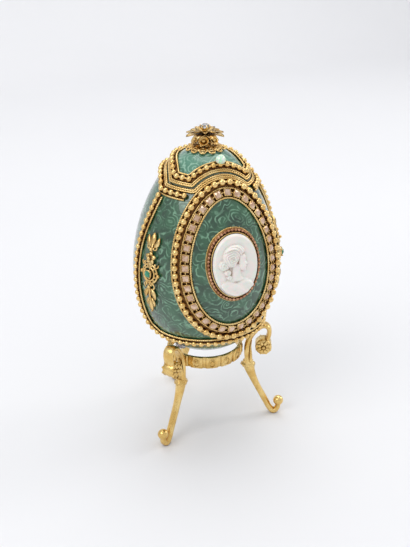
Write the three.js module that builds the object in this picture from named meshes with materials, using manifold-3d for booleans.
// A jewelled goose egg on its gilt three-legged stand. Millimetres, +Z up.
// The front of the egg, with the cameo, faces -Y. The feet stand on z = 0.
import * as THREE from "three";
import { mergeVertices } from "three/addons/utils/BufferGeometryUtils.js";
import Module from "manifold-3d";

// ---------------------------------------------------------------- driving dimensions
const CLEAR = 0.3; // gap between pieces that touch

// The egg stands broad end down. Its radius is radius * cos(lat) * (1 - taper * sin(lat)).
const EGG = { middle: 80.6, halfHeight: 45, radius: 30.1, taper: 0.17, wall: 1.6 };

// Front oval of beads and stones, as it shows from straight in front.
const OVAL = { middle: 84, halfWidth: 22.8, halfHeight: 30.5, narrowing: 0.08, proud: 2.5 };
const STONE_ROW = { inside: 3.9, width: 3.0, height: 2.1, stones: 36 };
const PANEL_CORD = { inside: 5.95, width: 0.9, height: 1.1 };
const OVAL_ROW = { width: 4.4, crest: 2.6, height: 2.3, dip: 1.5, beads: 46 };

// The seam between lid and body follows the oval over the front, drops to a notch on
// each side, runs level to a corner, and climbs in a curve to the back, most of it within
// a few times the climb's angle. Angles from the front, in degrees.
const SEAM = {
  overOval: 4.0,
  gap: 0.4,
  notch: { angle: 39.5, z: 112.9 },
  corner: { angle: 73, z: 113.3 },
  climb: 17,
  backZ: 118.4,
};
const SEAM_CORD = { off: 1.0, width: 1.3, height: 1.3 };
const LID_ROW = { off: 3.5, width: 3.0, crest: 2.0, height: 2.1, dip: 1.3, beads: 30 };
const BODY_ROW = { off: 3.6, width: 3.2, crest: 2.0, height: 2.1, dip: 1.3, beads: 33, start: 4.5 };

// The front band leaves the body row at each corner, goes down the flank and
// round under the front.
const BAND = {
  top: { angle: 77.5, z: 108.2 },
  flank: { angle: 85, z: 86 },
  low: { angle: 82, z: 57 },
  turn: { angle: 74, z: 51.2 },
  under: { angle: 58, z: 49.4 },
  width: 3.8,
  crest: 2.2,
  height: 2.2,
  dip: 1.4,
  beads: 44,
};

const CAMEO = { z: 85, halfWidth: 9, halfHeight: 12.3, thick: 2.4 };
const BEZEL = { gap: 1.55, width: 2.1, height: 2.2, beads: 18 };
const PEARL = { off: 4.8, lift: 2.4, radius: 2.0, angle: 5 };
const FLANK = { angle: 68, z: 78, emerald: 2.6, stoneUp: 0.9 };

const FINIAL = { filigree: 8.2, dome: 5.4, star: 8.3, top: 134 };

const STAND = {
  legs: 3,
  turn: 4.5, // from the middle of the egg's back to the back leg
  ring: 16.4,
  ringWall: 1.5,
  ringTop: 36.9,
  ringHeight: 5.3,
  panels: 15,
};
const FOOT_BALL = { r: 33.3, z: 6.4, radius: 2.3 };
const VOLUTE = { r: 25.8, z: 35.0, radius: 3.6, width: 5.6 };
const COLLAR = { r: 19.2, z: 25.9, height: 2.2, depth: 6.4, width: 5.4 };
const PAD = { z: 43.2, radius: 2.2, thick: 0.9 };

// ---------------------------------------------------------------- solids and meshes
const { sin, cos, PI, hypot, abs, max, min } = Math;
const rad = THREE.MathUtils.degToRad;
const wasm = await Module();
wasm.setup();

const GOLD = { color: 0xcf9a3c, roughness: 0.24, metalness: 1 };
const GREEN = { color: 0x1f5c40, roughness: 0.22, metalness: 0.1 };
const TEAL = { color: 0x4f927d, roughness: 0.22, metalness: 0.1 };
const STONE = { color: 0xe3b795, roughness: 0.1, metalness: 0.2 };
const SHELL = { color: 0xece4dc, roughness: 0.35, metalness: 0 };
const OPAL = { color: 0xbfe0c0, roughness: 0.2, metalness: 0 };
const EMERALD = { color: 0x0b5c3c, roughness: 0.08, metalness: 0 };
const CRYSTAL = { color: 0xc9ccd2, roughness: 0.05, metalness: 0 };
const SILICONE = { color: 0xb9b4bd, roughness: 0.35, metalness: 0 };

const root = new THREE.Group();

function add(name, geometry, look) {
  const mesh = new THREE.Mesh(geometry, new THREE.MeshStandardMaterial(look));
  mesh.name = name;
  root.add(mesh);
}

function merged(geometry) {
  const bare = geometry.clone();
  bare.deleteAttribute("normal");
  bare.deleteAttribute("uv");
  return mergeVertices(bare, 1e-4);
}

function solid(geometry) {
  const shape = merged(geometry);
  const vertProperties = shape.attributes.position.array;
  const triVerts = new Uint32Array(shape.index.array);
  return new wasm.Manifold(new wasm.Mesh({ numProp: 3, vertProperties, triVerts }));
}

function geometryOf(manifold) {
  const { vertProperties, triVerts } = manifold.getMesh();
  const geometry = new THREE.BufferGeometry();
  geometry.setAttribute("position", new THREE.BufferAttribute(vertProperties, 3));
  geometry.setIndex(new THREE.BufferAttribute(triVerts, 1));
  return geometry;
}

// Joins several geometries into one closed body.
const joined = (...shapes) => geometryOf(shapes.map(solid).reduce((a, b) => a.add(b)));

function volumeOf(points, faces) {
  return faces.reduce((sum, [a, b, c]) => {
    return sum + points[a].dot(new THREE.Vector3().crossVectors(points[b], points[c]));
  }, 0);
}

function ball(radius, detail, at) {
  return new THREE.IcosahedronGeometry(radius, detail).translate(at.x, at.y, at.z);
}

// A closed body from points and triangles, turned so that its faces point out.
function body(points, faces) {
  const out = volumeOf(points, faces) > 0 ? faces : faces.map(([a, b, c]) => [a, c, b]);
  const geometry = new THREE.BufferGeometry().setFromPoints(points);
  geometry.setIndex(out.flat());
  return geometry;
}

// Skins a row of rings that all have the same number of points. A closed row meets
// itself; an open row gets a flat cap at each end.
function loft(rings, closed = false) {
  const count = rings[0].length;
  const points = rings.flat();
  const faces = [];
  const steps = closed ? rings.length : rings.length - 1;
  for (let i = 0; i < steps; i++) {
    const here = i * count;
    const next = ((i + 1) % rings.length) * count;
    for (let j = 0; j < count; j++) {
      const k = (j + 1) % count;
      faces.push([here + j, here + k, next + k], [here + j, next + k, next + j]);
    }
  }
  if (!closed) {
    const last = (rings.length - 1) * count;
    for (let j = 1; j < count - 1; j++) {
      faces.push([0, j + 1, j], [last, last + j, last + j + 1]);
    }
  }
  return body(points, faces);
}

// ---------------------------------------------------------------- the egg's surface
// A place on the egg is { angle, lat }: the angle from the front, towards +X, and the
// latitude, both in radians.
const latAt = (z) => Math.asin((z - EGG.middle) / EGG.halfHeight);
const heightAt = (lat) => EGG.middle + EGG.halfHeight * sin(lat);
const radiusAt = (lat) => EGG.radius * cos(lat) * (1 - EGG.taper * sin(lat));
const place = (degrees, z) => ({ angle: rad(degrees), lat: latAt(z) });

// How fast radius and height change with latitude.
function slope(lat) {
  const dr = -EGG.radius * (sin(lat) * (1 - EGG.taper * sin(lat)) + EGG.taper * cos(lat) ** 2);
  const dz = EGG.halfHeight * cos(lat);
  return { dr, dz, length: hypot(dr, dz) };
}

// The point above a place, lifted off the egg along its normal.
function onEgg({ angle, lat }, lift = 0) {
  const { dr, dz, length } = slope(lat);
  const r = radiusAt(lat) + (lift * dz) / length;
  return new THREE.Vector3(r * sin(angle), -r * cos(angle), heightAt(lat) - (lift * dr) / length);
}

// The place a short way off, in millimetres across (towards +X at the front) and up.
function moved({ angle, lat }, across, up) {
  const halfway = lat + up / slope(lat).length / 2;
  const next = lat + up / slope(halfway).length;
  return { angle: angle + across / max(radiusAt(next), 1), lat: next };
}

function span(a, b) {
  const middle = (a.lat + b.lat) / 2;
  const turn = Math.atan2(sin(b.angle - a.angle), cos(b.angle - a.angle));
  return { across: turn * radiusAt(middle), up: (b.lat - a.lat) * slope(middle).length };
}

const distance = (a, b) => hypot(span(a, b).across, span(a, b).up);
const between = (a, b, t) => moved(a, span(a, b).across * t, span(a, b).up * t);

// Spaces a path out evenly. A closed path's last point leads back to its first.
function spaced(path, count, closed) {
  const ends = closed ? [...path, path[0]] : path;
  const lengths = ends.slice(1).map((p, i) => distance(ends[i], p));
  const total = lengths.reduce((a, b) => a + b);
  const places = [];
  let leg = 0;
  let passed = 0;
  for (let i = 0; i < count; i++) {
    const wanted = (total * i) / (closed ? count : count - 1);
    while (leg < lengths.length - 1 && passed + lengths[leg] < wanted) passed += lengths[leg++];
    places.push(between(ends[leg], ends[leg + 1], min(1, (wanted - passed) / lengths[leg])));
  }
  return places;
}

// Unit direction to the left of the path at point i, mitred at a corner.
function sideways(path, i, closed) {
  const n = path.length;
  const before = closed ? path[(i + n - 1) % n] : path[max(i - 1, 0)];
  const after = closed ? path[(i + 1) % n] : path[min(i + 1, n - 1)];
  const normals = [];
  for (const [a, b] of [[before, path[i]], [path[i], after]]) {
    const { across, up } = span(a, b);
    const length = hypot(across, up);
    if (length > 1e-6) normals.push([-up / length, across / length]);
  }
  const [p, q] = [normals[0], normals[normals.length - 1]];
  const share = 1 + p[0] * q[0] + p[1] * q[1];
  return { across: (p[0] + q[0]) / share, up: (p[1] + q[1]) / share };
}

// A path beside another, to its left, without the loops that a tight corner makes.
function beside(path, offset, closed) {
  const shifted = path.map((p, i) => {
    const side = sideways(path, i, closed);
    return moved(p, side.across * offset, side.up * offset);
  });
  return shifted.filter((p) => path.every((q) => distance(p, q) > abs(offset) * 0.95));
}

// A strip laid along a path. profile(i) gives its cross-section at station i, as
// [distance to the left, height over the egg] pairs that start and end at its foot.
function strip(path, closed, profile) {
  const rings = path.map((p, i) => {
    const side = sideways(path, i, closed);
    return profile(i).map(([left, lift]) => {
      return onEgg(moved(p, side.across * left, side.up * left), lift);
    });
  });
  return loft(rings, closed);
}

// A row of fused beads between two cords: high at each bead and low between them.
function beadRow(path, closed, { width, crest, height, dip, beads }) {
  const stations = spaced(path, closed ? beads * 2 : beads * 2 + 1, closed);
  return strip(stations, closed, (i) => {
    const top = i % 2 ? height : dip;
    return [[-width / 2, CLEAR], [-crest / 2, top], [crest / 2, top], [width / 2, CLEAR]];
  });
}

// A plain cord, three-sided.
function cord(path, closed, count, { width, height }) {
  return strip(spaced(path, count, closed), closed, () => {
    return [[-width / 2, CLEAR], [0, height], [width / 2, CLEAR]];
  });
}

// ---------------------------------------------------------------- paths on the egg
// The front oval, anticlockwise from the left as seen from the front.
function ovalPath(count) {
  return Array.from({ length: count }, (_, i) => {
    const turn = (-2 * PI * i) / count + PI;
    const across = OVAL.halfWidth * cos(turn) * (1 - OVAL.narrowing * sin(turn));
    const lat = latAt(OVAL.middle + OVAL.halfHeight * sin(turn));
    return { angle: Math.asin(across / (radiusAt(lat) + OVAL.proud)), lat };
  });
}
const oval = ovalPath(120);

const straight = (a, b, count) => Array.from({ length: count }, (_, i) => between(a, b, i / count));
const mirrored = (path) => path.map(({ angle, lat }) => ({ angle: -angle, lat })).reverse();

// Half of the seam, from the middle of the front to the middle of the back.
function halfSeam() {
  const [notch, corner] = [SEAM.notch, SEAM.corner].map(({ angle, z }) => place(angle, z));
  const arch = beside(oval, SEAM.overOval, true)
    .filter(({ angle, lat }) => angle > 0.01 && angle < notch.angle - 0.04 && lat > latAt(100))
    .sort((a, b) => a.angle - b.angle);
  const steps = 26;
  const back = Array.from({ length: steps + 1 }, (_, i) => {
    const past = (180 - SEAM.corner.angle) * (i / steps) ** 1.3;
    const rise = (SEAM.backZ - SEAM.corner.z) * (1 - Math.exp(-past / SEAM.climb));
    return place(SEAM.corner.angle + past, SEAM.corner.z + rise);
  });
  return [...arch, ...straight(notch, corner, 10), ...back];
}

const rightSeam = halfSeam();
const seam = [...rightSeam, ...mirrored(rightSeam.slice(0, -1))];

// The seam's latitude at an angle from the front.
function seamLat(angle) {
  const a = min(abs(angle), PI);
  const after = rightSeam.findIndex((p) => p.angle >= a);
  if (after === 0) return rightSeam[0].lat;
  const [p, q] = [rightSeam[after - 1], rightSeam[after]];
  return p.lat + ((q.lat - p.lat) * (a - p.angle)) / (q.angle - p.angle);
}

// Half of the front band, from its top at the corner to the middle of the front.
function halfBand() {
  const marks = [BAND.top, BAND.flank, BAND.low, BAND.turn, BAND.under];
  const ends = [...marks, { angle: 0, z: BAND.under.z + 0.4 }];
  const curve = new THREE.CatmullRomCurve3(
    ends.map(({ angle, z }) => new THREE.Vector3(angle, z, 0)),
    false,
    "centripetal",
  );
  return curve.getPoints(60).map(({ x, y }) => place(x, y));
}

// ---------------------------------------------------------------- shell
const COLUMNS = [0, 10, 20, 30, 39.5, 50, 61, 73, 82, 92, 106, 120, 135, 150, 165, 180];

// One cap or cup of the shell between a pole and the seam.
function shellHalf(pole, rows, gap) {
  const angles = [...COLUMNS, ...COLUMNS.slice(1, -1).reverse().map((a) => 360 - a)];
  const points = [];
  const faces = [];
  const layer = (depth) => {
    const start = points.length;
    for (const degrees of angles) {
      const angle = rad(degrees > 180 ? degrees - 360 : degrees);
      const edge = seamLat(angle) + gap / slope(seamLat(angle)).length;
      for (let row = 1; row <= rows; row++) {
        points.push(onEgg({ angle, lat: pole + ((edge - pole) * row) / rows }, -depth));
      }
    }
    points.push(onEgg({ angle: 0, lat: pole }, -depth).setX(0).setY(0));
    return start;
  };
  const starts = [layer(0), layer(EGG.wall)];
  const n = angles.length;
  for (const [side, start] of starts.entries()) {
    const poleIndex = start + n * rows;
    const face = (a, b, c) => faces.push(side ? [a, c, b] : [a, b, c]);
    for (let i = 0; i < n; i++) {
      const here = start + i * rows;
      const next = start + ((i + 1) % n) * rows;
      face(poleIndex, here, next);
      for (let row = 0; row < rows - 1; row++) {
        face(here + row, here + row + 1, next + row + 1);
        face(here + row, next + row + 1, next + row);
      }
    }
  }
  for (let i = 0; i < n; i++) {
    const [outer, inner] = starts.map((start) => start + i * rows + rows - 1);
    const [outerNext, innerNext] = starts.map((start) => start + ((i + 1) % n) * rows + rows - 1);
    faces.push([outer, inner, innerNext], [outer, innerNext, outerNext]);
  }
  return body(points, faces);
}

add("egg_body", shellHalf(-PI / 2, 9, -SEAM.gap / 2), GREEN);
add("egg_lid", shellHalf(PI / 2, 3, SEAM.gap / 2), TEAL);

// ---------------------------------------------------------------- trims
// Left of the seam's path is up, on the lid; right of it is the body.
add("lid_seam_cord", cord(beside(seam, SEAM_CORD.off, true), true, 48, SEAM_CORD), GOLD);
add("body_seam_cord", cord(beside(seam, -SEAM_CORD.off, true), true, 48, SEAM_CORD), GOLD);
// The pearl sits in the lid's bead row, just off the middle of the front.
const pearlAngle = rad(PEARL.angle);
const pearlPlace = moved({ angle: pearlAngle, lat: seamLat(pearlAngle) }, 0, PEARL.off);
const pearlAt = onEgg(pearlPlace, PEARL.lift);
const lidBeads = solid(beadRow(beside(seam, LID_ROW.off, true), true, LID_ROW));
const pearlSeat = solid(ball(PEARL.radius + CLEAR, 2, pearlAt));
add("lid_bead_row", geometryOf(lidBeads.subtract(pearlSeat)), GOLD);
add("opal_pearl", ball(PEARL.radius, 1, pearlAt), OPAL);

// The body's bead row runs from notch to notch round the back.
const fromNotch = rad(SEAM.notch.angle + BODY_ROW.start);
const roundTheBack = beside(seam, -BODY_ROW.off, true).filter((p) => abs(p.angle) > fromNotch);
add("body_bead_row", beadRow(roundTheBack, false, BODY_ROW), GOLD);

const leftBand = halfBand();
add("front_band", beadRow([...leftBand, ...mirrored(leftBand).slice(1)], false, BAND), GOLD);

add("front_oval_beads", beadRow(oval, true, OVAL_ROW), GOLD);

// Square stones in cups, linked side by side.
function stoneRow() {
  const path = spaced(beside(oval, -STONE_ROW.inside, true), STONE_ROW.stones * 2, true);
  const half = STONE_ROW.width / 2;
  return strip(path, true, (i) => {
    const [top, edge] = i % 2 ? [STONE_ROW.height, half] : [1.0, half * 0.7];
    return [[-edge, CLEAR], [-edge, top], [edge, top], [edge, CLEAR]];
  });
}
add("front_oval_stones", stoneRow(), STONE);
add("panel_cord", cord(beside(oval, -PANEL_CORD.inside, true), true, 40, PANEL_CORD), GOLD);

// ---------------------------------------------------------------- cameo
const cameoMiddle = place(0, CAMEO.z);
const fall = (u, v) => (u * u) / (2 * EGG.radius) + (v * v) / (2 * 62);

// Smooth hump of a given height over an ellipse, for building up the relief.
function hump(u, v, { at, size, height, turn = 0 }) {
  const [du, dv] = [u - at[0], v - at[1]];
  const along = (du * cos(turn) + dv * sin(turn)) / size[0];
  const up = (dv * cos(turn) - du * sin(turn)) / size[1];
  return height * max(0, 1 - along * along - up * up) ** 0.5;
}

// A bust in profile to the right: head, nose and chin, hair piled at the back of the
// head, neck, shoulders and the folds of the dress.
const BUST = [
  { at: [0.9, 2.6], size: [3.3, 4.1], height: 1.0, turn: -0.12 },
  { at: [3.7, 1.9], size: [1.0, 1.1], height: 0.8 },
  { at: [2.9, -0.7], size: [1.4, 1.1], height: 0.8 },
  { at: [-1.3, 4.3], size: [3.6, 3.9], height: 1.3, turn: 0.3 },
  { at: [-3.6, 1.5], size: [2.2, 2.6], height: 1.2 },
  { at: [-0.6, -2.6], size: [2.0, 3.4], height: 0.9, turn: 0.15 },
  { at: [-0.9, -7.0], size: [5.7, 2.9], height: 1.1 },
  { at: [1.6, -8.2], size: [3.6, 1.7], height: 1.3, turn: 0.35 },
];

function cameoSlab() {
  const [around, rows] = [26, 7];
  const bevel = 0.9;
  const rings = [];
  const ring = (share, lift) => Array.from({ length: around }, (_, i) => {
    const turn = (2 * PI * i) / around;
    const u = CAMEO.halfWidth * share * cos(turn);
    const v = CAMEO.halfHeight * share * sin(turn);
    return onEgg(moved(cameoMiddle, u, v), lift(u, v));
  });
  const ground = (u, v) => CAMEO.thick + fall(u, v) * 0.5;
  rings.push(ring(0.04, () => CLEAR), ring(1, () => CLEAR), ring(1, (u, v) => ground(u, v) - bevel));
  for (let row = rows; row > 0; row--) {
    const share = 0.04 + (0.91 * row) / rows;
    rings.push(ring(share, (u, v) => ground(u, v) + max(...BUST.map((part) => hump(u, v, part)))));
  }
  return loft(rings);
}
add("cameo", cameoSlab(), SHELL);

// The beaded frame round the cameo.
function cameoFrame() {
  const count = BEZEL.beads * 2;
  const path = Array.from({ length: count }, (_, i) => {
    const turn = (-2 * PI * i) / count;
    const u = (CAMEO.halfWidth + BEZEL.gap) * cos(turn);
    const v = (CAMEO.halfHeight + BEZEL.gap) * sin(turn);
    return moved(cameoMiddle, u, v);
  });
  const half = BEZEL.width / 2;
  return strip(path, true, (i) => {
    return [[-half, CLEAR], [0.1, BEZEL.height - (i % 2) * 0.7], [half, 1.1], [half, CLEAR]];
  });
}
add("cameo_frame", cameoFrame(), GOLD);

// ---------------------------------------------------------------- flank mounts

// A flat-backed piece of the flank mount. outline is [across, up] pairs round its
// middle; the piece swells from its rim to its middle.
function boss(middle, outline, rim, peak, at) {
  const level = (share, lift) => outline.map(([u, v]) => {
    return onEgg(moved(middle, at[0] + u * share, at[1] + v * share), lift);
  });
  return loft([level(0.05, CLEAR), level(1, CLEAR), level(1, rim), level(0.05, peak)]);
}

// A leaf spray: a pointed leaf with lobes, its tip away from the middle of the mount.
function leafOutline(length, width, lobes, toward) {
  const side = [];
  for (let i = 0; i <= lobes * 2; i++) {
    const t = i / (lobes * 2);
    const swell = sin(PI * min(1, 0.18 + t * 0.82)) * (i % 2 ? 0.72 : 1);
    side.push([(width / 2) * swell, toward * length * (t - 0.5)]);
  }
  return [...side, ...side.slice(1, -1).reverse().map(([u, v]) => [-u, v])];
}

const circle = (radius, count, ripple = 0) => Array.from({ length: count }, (_, i) => {
  const r = radius * (1 - (i % 2) * ripple);
  return [r * cos((2 * PI * i) / count), r * sin((2 * PI * i) / count)];
});

function flankMount(middle) {
  return joined(
    boss(middle, leafOutline(9.5, 5.6, 3, 1), 1.0, 2.0, [0, 12.8]),
    boss(middle, circle(2.9, 10, 0.3), 1.2, 2.4, [0, 6.6]),
    boss(middle, circle(4.2, 14, 0.14), 1.1, 1.6, [0, FLANK.stoneUp]),
    boss(middle, circle(1.9, 6), 1.2, 1.9, [0, -3.6]),
    boss(middle, leafOutline(12.2, 5.6, 3, -1), 1.0, 2.0, [0, -10.2]),
  );
}

// A square stone with a table top, held just clear of its mount.
function emerald(middle) {
  const half = FLANK.emerald / 2;
  const square = [[half, half], [-half, half], [-half, -half], [half, -half]];
  const level = (share, lift) => square.map(([u, v]) => {
    return onEgg(moved(middle, u * share, FLANK.stoneUp + v * share), lift);
  });
  return loft([level(0.7, 1.9), level(1, 2.2), level(0.6, 2.9)]);
}

for (const [side, sign] of [["left", -1], ["right", 1]]) {
  const middle = place(sign * FLANK.angle, FLANK.z);
  add(`${side}_flank_mount`, flankMount(middle), GOLD);
  add(`${side}_emerald`, emerald(middle), EMERALD);
}

// ---------------------------------------------------------------- finial
// A thin flower turned about the axis. reach(i) is its radius at station i, and levels are
// [share of the radius, height, drop of the short stations] round its section.
function flower(stations, reach, levels) {
  const rings = Array.from({ length: stations }, (_, i) => {
    const turn = (2 * PI * i) / stations;
    return levels.map(([share, z, lift = 0]) => {
      const r = share * reach(i);
      const drop = lift * (1 - reach(i) / reach(0));
      return new THREE.Vector3(r * sin(turn), -r * cos(turn), z - drop);
    });
  });
  return loft(rings, true);
}

const crown = EGG.middle + EGG.halfHeight;
const filigreeReach = (i) => FINIAL.filigree * (i % 2 ? 0.92 : 1);
add("finial_filigree", flower(20, filigreeReach, [
  [0.12, crown + 0.7], [0.6, crown - 0.1], [1, crown - 1.9],
  [1, crown - 1.1], [0.55, crown + 1.3], [0.12, crown + 1.8],
]), GOLD);

const domeReach = (i) => FINIAL.dome * (1 - 0.22 * abs(cos((PI * i) / 4)));
add("finial_petals", flower(24, domeReach, [
  [0.1, crown + 2.1], [1, crown + 1.5], [0.85, crown + 2.7], [0.1, crown + 3.4],
]), GOLD);

const starReach = (i) => FINIAL.star * (i % 2 ? 0.45 : 1);
add("finial_star", flower(16, starReach, [
  [0.1, crown + 3.7], [1, crown + 4.8, 2.4], [1, crown + 5.3, 2.4], [0.1, crown + 5.0],
]), GOLD);

function turned(profile, sides) {
  const points = profile.map(([r, z]) => new THREE.Vector2(r, z));
  return new THREE.LatheGeometry(points, sides).rotateX(PI / 2);
}
const cupTop = FINIAL.top - 1.5;
add("finial_cup", turned([
  [0, crown + 5.3], [1.1, crown + 5.3], [0.8, cupTop - 0.8], [1.9, cupTop], [0, cupTop],
], 10), GOLD);
add("finial_stone", turned([
  [0, cupTop + 0.3], [1.7, cupTop + 0.5], [1.0, FINIAL.top], [0, FINIAL.top],
], 8), CRYSTAL);

// ---------------------------------------------------------------- stand
// The ring: flat panels with an upright groove between each pair.
function standRing() {
  const low = STAND.ringTop - STAND.ringHeight;
  const inner = STAND.ring - STAND.ringWall;
  const edges = [0, 0.12, 0.88];
  const rings = Array.from({ length: STAND.panels * 3 }, (_, i) => {
    const turn = (2 * PI * (Math.floor(i / 3) + edges[i % 3])) / STAND.panels;
    const face = STAND.ring - (i % 3 ? 0 : 0.5);
    const section = [[inner, low], [face, low], [face, STAND.ringTop], [inner, STAND.ringTop]];
    return section.map(([r, z]) => new THREE.Vector3(r * sin(turn), -r * cos(turn), z));
  });
  return loft(rings, true);
}
add("stand_ring", standRing(), GOLD);

// The leg's middle line in its own upright plane, as [r, z, width, depth]: from the
// tip of the foot, up the shin and over the scroll to the volute.
const LEG_LINE = [
  [33.5, 5.4, 2.4, 2.2], [33.1, 2.7, 2.8, 2.4], [31.3, 0.95, 3.2, 2.9], [29.3, 2.7, 3.2, 2.7],
  [27.6, 5.9, 3.1, 2.7], [25.5, 10, 3.1, 2.7], [23.2, 14.5, 3.1, 2.8], [21.5, 18.3, 3.3, 3.2],
  [20.1, 21.9, 3.8, 4.1], [19.3, 25.2, 4.2, 5.0], [18.85, 28.2, 4.0, 2.9], [18.6, 31.5, 3.8, 2.8],
  [18.8, 35.3, 3.8, 2.7], [20.0, 39.0, 4.2, 2.5], [21.9, 42.0, 4.5, 2.4], [24.1, 44.2, 4.8, 2.3],
  [26.3, 44.9, 4.9, 2.3], [27.9, 43.6, 4.9, 2.3], [28.2, 41.0, 4.8, 2.3], [27.4, 38.0, 4.6, 2.2],
  [26.4, 36.0, 4.4, 2.0],
];

function legSweep() {
  const rings = LEG_LINE.map(([r, z, width, depth], i) => {
    const a = LEG_LINE[max(i - 1, 0)];
    const b = LEG_LINE[min(i + 1, LEG_LINE.length - 1)];
    const [dr, dz] = [b[0] - a[0], b[1] - a[1]];
    const length = hypot(dr, dz);
    const at = (across, out) => {
      return new THREE.Vector3(across, -(r + (dz / length) * out), z - (dr / length) * out);
    };
    const [w, d] = [width / 2, depth / 2];
    return [at(w, 0.55 * d), at(0, d), at(-w, 0.55 * d), at(-w, -0.55 * d), at(0, -d), at(w, -0.55 * d)];
  });
  return loft(rings);
}

// The volute is a short drum with eight petals on each end, lying across the leg.
function volute() {
  const petals = 8;
  const end = VOLUTE.width / 2;
  const ring = (x, radius) => Array.from({ length: petals * 2 }, (_, i) => {
    const r = radius * (i % 2 ? 0.84 : 1);
    const turn = (PI * i) / petals;
    return new THREE.Vector3(x, -VOLUTE.r - r * cos(turn), VOLUTE.z + r * sin(turn));
  });
  const drum = VOLUTE.radius;
  const boss = drum * 0.3;
  return loft([ring(-end - 0.5, boss), ring(-end, drum), ring(end, drum), ring(end + 0.5, boss)]);
}

function collar() {
  const level = (z, share) => circle(share, 10, 0.1).map(([x, y]) => {
    return new THREE.Vector3((x * COLLAR.width) / 2, -COLLAR.r + (y * COLLAR.depth) / 2, z);
  });
  const bottom = COLLAR.z - COLLAR.height / 2;
  return loft([level(bottom, 0.75), level(COLLAR.z + 0.3, 1), level(bottom + COLLAR.height, 0.85)]);
}

function leg() {
  const foot = ball(FOOT_BALL.radius, 1, new THREE.Vector3(0, -FOOT_BALL.r, FOOT_BALL.z));
  const whole = joined(legSweep(), foot, volute(), collar());
  const below = new THREE.BoxGeometry(100, 100, 2).translate(0, 0, -1);
  return geometryOf(solid(whole).subtract(solid(below)));
}

// A soft pad between the leg and the egg, its inner face following the egg.
function pad(angle) {
  const middle = { angle, lat: latAt(PAD.z) };
  const { radius, thick } = PAD;
  const level = (r, lift) => circle(r, 10).map(([u, v]) => onEgg(moved(middle, u, v), lift));
  return loft([level(radius, CLEAR), level(radius, thick), level(radius * 0.6, thick + 0.3)]);
}

for (let i = 0; i < STAND.legs; i++) {
  const degrees = STAND.turn + 180 + (360 / STAND.legs) * (i + 1);
  const shape = leg().rotateZ(rad(degrees));
  const name = ["left", "right", "back"][i];
  add(`stand_leg_${name}`, shape, GOLD);
  add(`egg_pad_${name}`, pad(rad(degrees)), SILICONE);
}

// The origin is on the ground, under the middle of the whole object's box.
const box = new THREE.Box3().setFromObject(root);
const middleOfBox = box.getCenter(new THREE.Vector3());
root.position.set(-middleOfBox.x, -middleOfBox.y, 0);

export default root;
